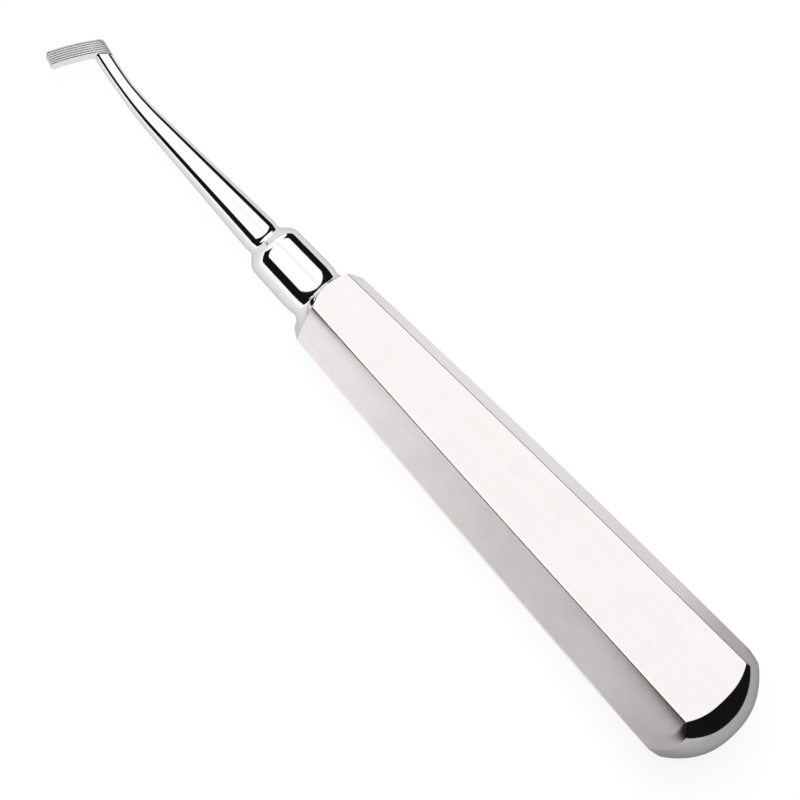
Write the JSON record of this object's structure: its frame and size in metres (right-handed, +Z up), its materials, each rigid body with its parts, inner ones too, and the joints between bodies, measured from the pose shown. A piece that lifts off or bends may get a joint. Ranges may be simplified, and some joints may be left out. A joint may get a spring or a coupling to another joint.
{
  "type": "orthodontic band pusher",
  "caption": "One-piece steel hand instrument with a faceted, tapering handle, a round collar and shank, and a bent, grooved foot for seating orthodontic bands.",
  "frame": {"origin": "centre of the instrument's box in X and Y, at the level of the surface that it lies on", "axes": "+X along the handle towards its domed butt, +Y to the side that the foot bends to, +Z up, out of the upper wide flat"},
  "size_m": [0.14, 0.022, 0.014],
  "materials": {
    "stainless_steel": "satin brushed facets on the handle, mirror polish on the butt, collar and shank"
  },
  "bodies": {
    "root": {"band_pusher": "stainless_steel"}
  },
  "joints": []
}
